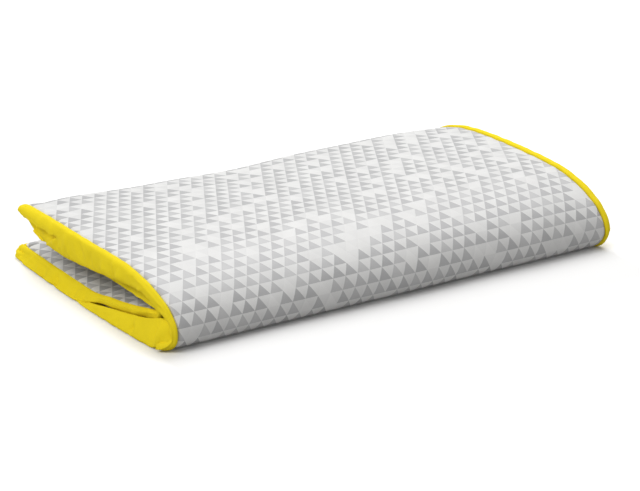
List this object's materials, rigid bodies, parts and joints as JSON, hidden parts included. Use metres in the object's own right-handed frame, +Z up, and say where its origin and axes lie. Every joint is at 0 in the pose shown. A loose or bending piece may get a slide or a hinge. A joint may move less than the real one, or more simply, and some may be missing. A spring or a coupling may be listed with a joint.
{
  "type": "ironing board cover",
  "caption": "Padded ironing board cover with a triangle print and yellow hems, folded crosswise into a flat pack with a soft front roll; it opens like a book.",
  "frame": {"origin": "middle of the folded pack's box, on the floor", "axes": "+X along the front roll, +Y from the front roll to the back fold, +Z up"},
  "size_m": [0.498, 0.2712, 0.0606],
  "materials": {
    "cover_cloth": "printed woven cotton, matte",
    "padding": "needled felt, matte",
    "hem_cloth": "woven cotton, matte",
    "elastic": "braided elastic, matte"
  },
  "bodies": {
    "lower_ply": {"bottom_cover": "cover_cloth", "bottom_pad": "padding", "bottom_hem_left": "hem_cloth", "bottom_hem_right": "hem_cloth", "bottom_elastic_left": "elastic", "bottom_elastic_right": "elastic", "roll_lower_cover": "cover_cloth", "roll_lower_pad": "padding", "roll_lower_hem_left": "hem_cloth", "roll_lower_hem_right": "hem_cloth", "roll_lower_elastic_left": "elastic", "roll_lower_elastic_right": "elastic", "bottom_hem_end": "hem_cloth", "bottom_elastic_end": "elastic"},
    "spine": {"roll_upper_cover": "cover_cloth", "roll_upper_pad": "padding", "roll_upper_hem_left": "hem_cloth", "roll_upper_hem_right": "hem_cloth", "roll_upper_elastic_left": "elastic", "roll_upper_elastic_right": "elastic"},
    "upper_leaf": {"top_cover": "cover_cloth", "top_pad": "padding", "top_hem_left": "hem_cloth", "top_hem_right": "hem_cloth", "top_elastic_left": "elastic", "top_elastic_right": "elastic", "back_fold_cover": "cover_cloth", "back_fold_pad": "padding", "back_fold_hem_left": "hem_cloth", "back_fold_hem_right": "hem_cloth", "back_fold_elastic_left": "elastic", "back_fold_elastic_right": "elastic", "under_cover": "cover_cloth", "under_pad": "padding", "under_hem_left": "hem_cloth", "under_hem_right": "hem_cloth", "under_elastic_left": "elastic", "under_elastic_right": "elastic"},
    "inner_ply": {"inner_cover": "cover_cloth", "inner_pad": "padding", "inner_hem_left": "hem_cloth", "inner_hem_right": "hem_cloth", "inner_elastic_left": "elastic", "inner_elastic_right": "elastic", "inner_hem_end": "hem_cloth", "inner_elastic_end": "elastic"}
  },
  "joints": [
    {"name": "fold_lower", "type": "hinge", "parent": "lower_ply", "child": "spine", "pos_m": [0, -0.13558, 0.016], "axis": [1, 0, 0], "range_deg": [0, 140]},
    {"name": "fold_upper", "type": "hinge", "parent": "spine", "child": "upper_leaf", "pos_m": [0, -0.09258, 0.05319], "axis": [1, 0, 0], "range_deg": [0, 41]},
    {"name": "inner_crease", "type": "hinge", "parent": "upper_leaf", "child": "inner_ply", "pos_m": [0, -0.09757, 0.0255], "axis": [1, 0, 0], "range_deg": [-178, 0]}
  ],
  "couplings": [
    {"joint": "fold_upper", "follows": "fold_lower", "ratio": 0.29},
    {"joint": "inner_crease", "follows": "fold_lower", "ratio": -1.27}
  ]
}
